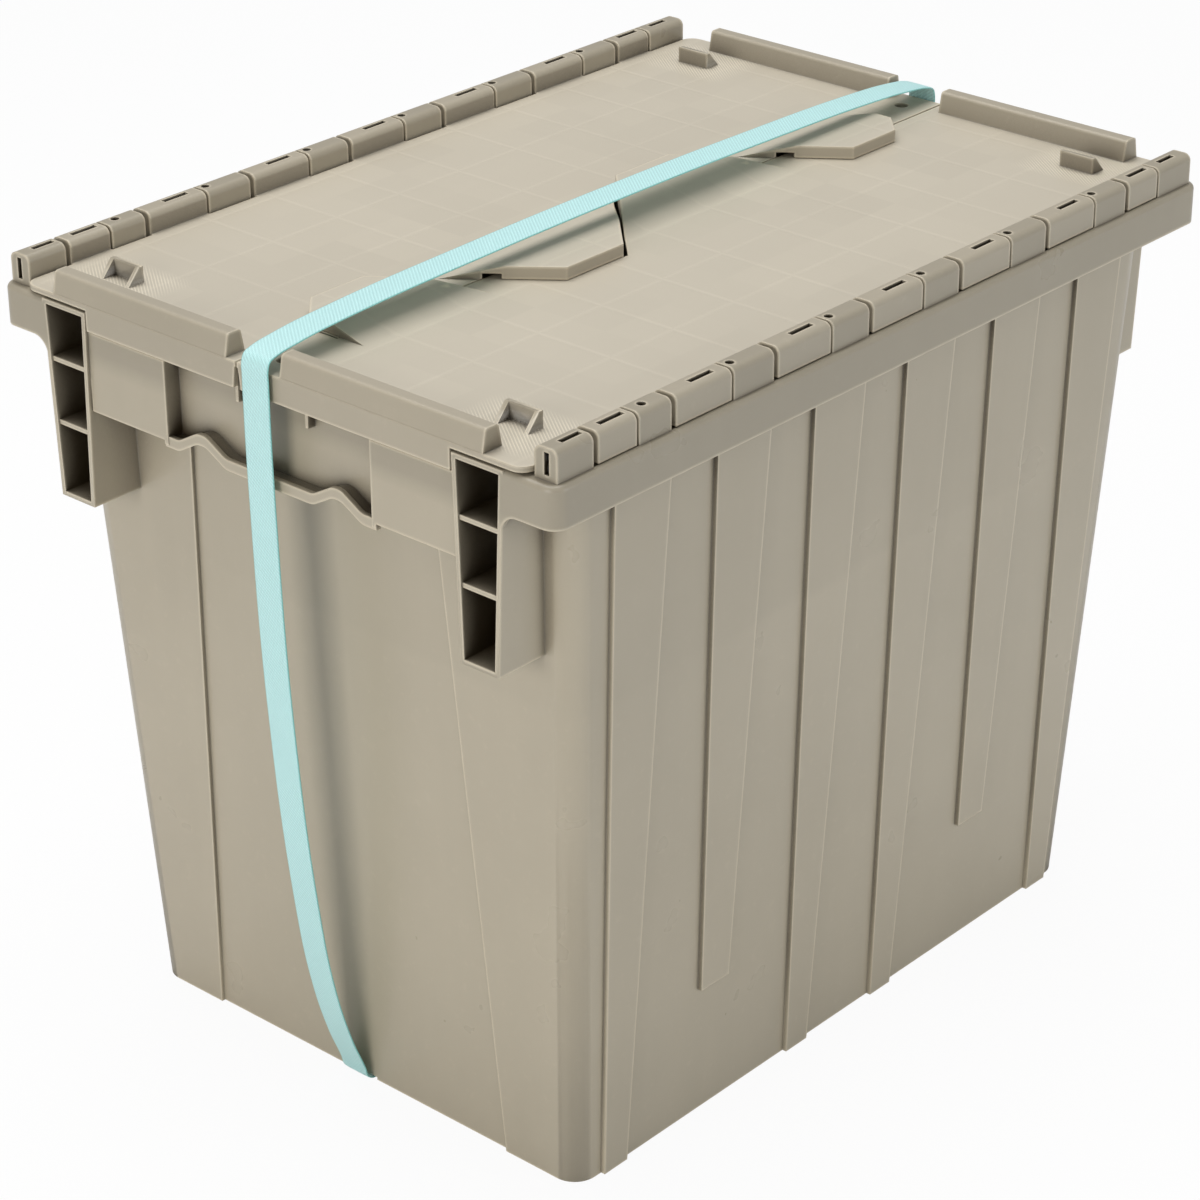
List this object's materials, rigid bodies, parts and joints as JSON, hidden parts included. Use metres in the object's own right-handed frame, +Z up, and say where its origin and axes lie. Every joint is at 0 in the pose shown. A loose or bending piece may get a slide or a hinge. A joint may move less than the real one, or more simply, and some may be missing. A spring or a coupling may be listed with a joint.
{
  "type": "attached-lid container",
  "caption": "Tapered plastic tote with two interlocking hinged lids, ladder-backed hand grips and a woven strap round the middle.",
  "frame": {"origin": "centre of the base, on the plane it stands on", "axes": "+X along the length towards the far end, +Y towards the left long side, +Z up"},
  "size_m": [0.5384, 0.389, 0.4546],
  "materials": {
    "shell": "satin",
    "lid": "satin",
    "rod": "satin",
    "webbing": "woven"
  },
  "bodies": {
    "tub_body": {"tub": "shell", "hinge_rod_left": "rod", "hinge_rod_right": "rod", "strap": "webbing"},
    "lid_left_body": {"lid_left": "lid"},
    "lid_right_body": {"lid_right": "lid"}
  },
  "joints": [
    {"name": "lid_left_hinge", "type": "hinge", "parent": "tub_body", "child": "lid_left_body", "pos_m": [0, 0.184, 0.4415], "axis": [-1, 0, 0], "range_deg": [0, 235], "deforming": ["strap"]},
    {"name": "lid_right_hinge", "type": "hinge", "parent": "tub_body", "child": "lid_right_body", "pos_m": [0, -0.184, 0.4415], "axis": [1, 0, 0], "range_deg": [0, 235]}
  ],
  "couplings": [
    {"joint": "lid_right_hinge", "follows": "lid_left_hinge", "ratio": 1}
  ]
}
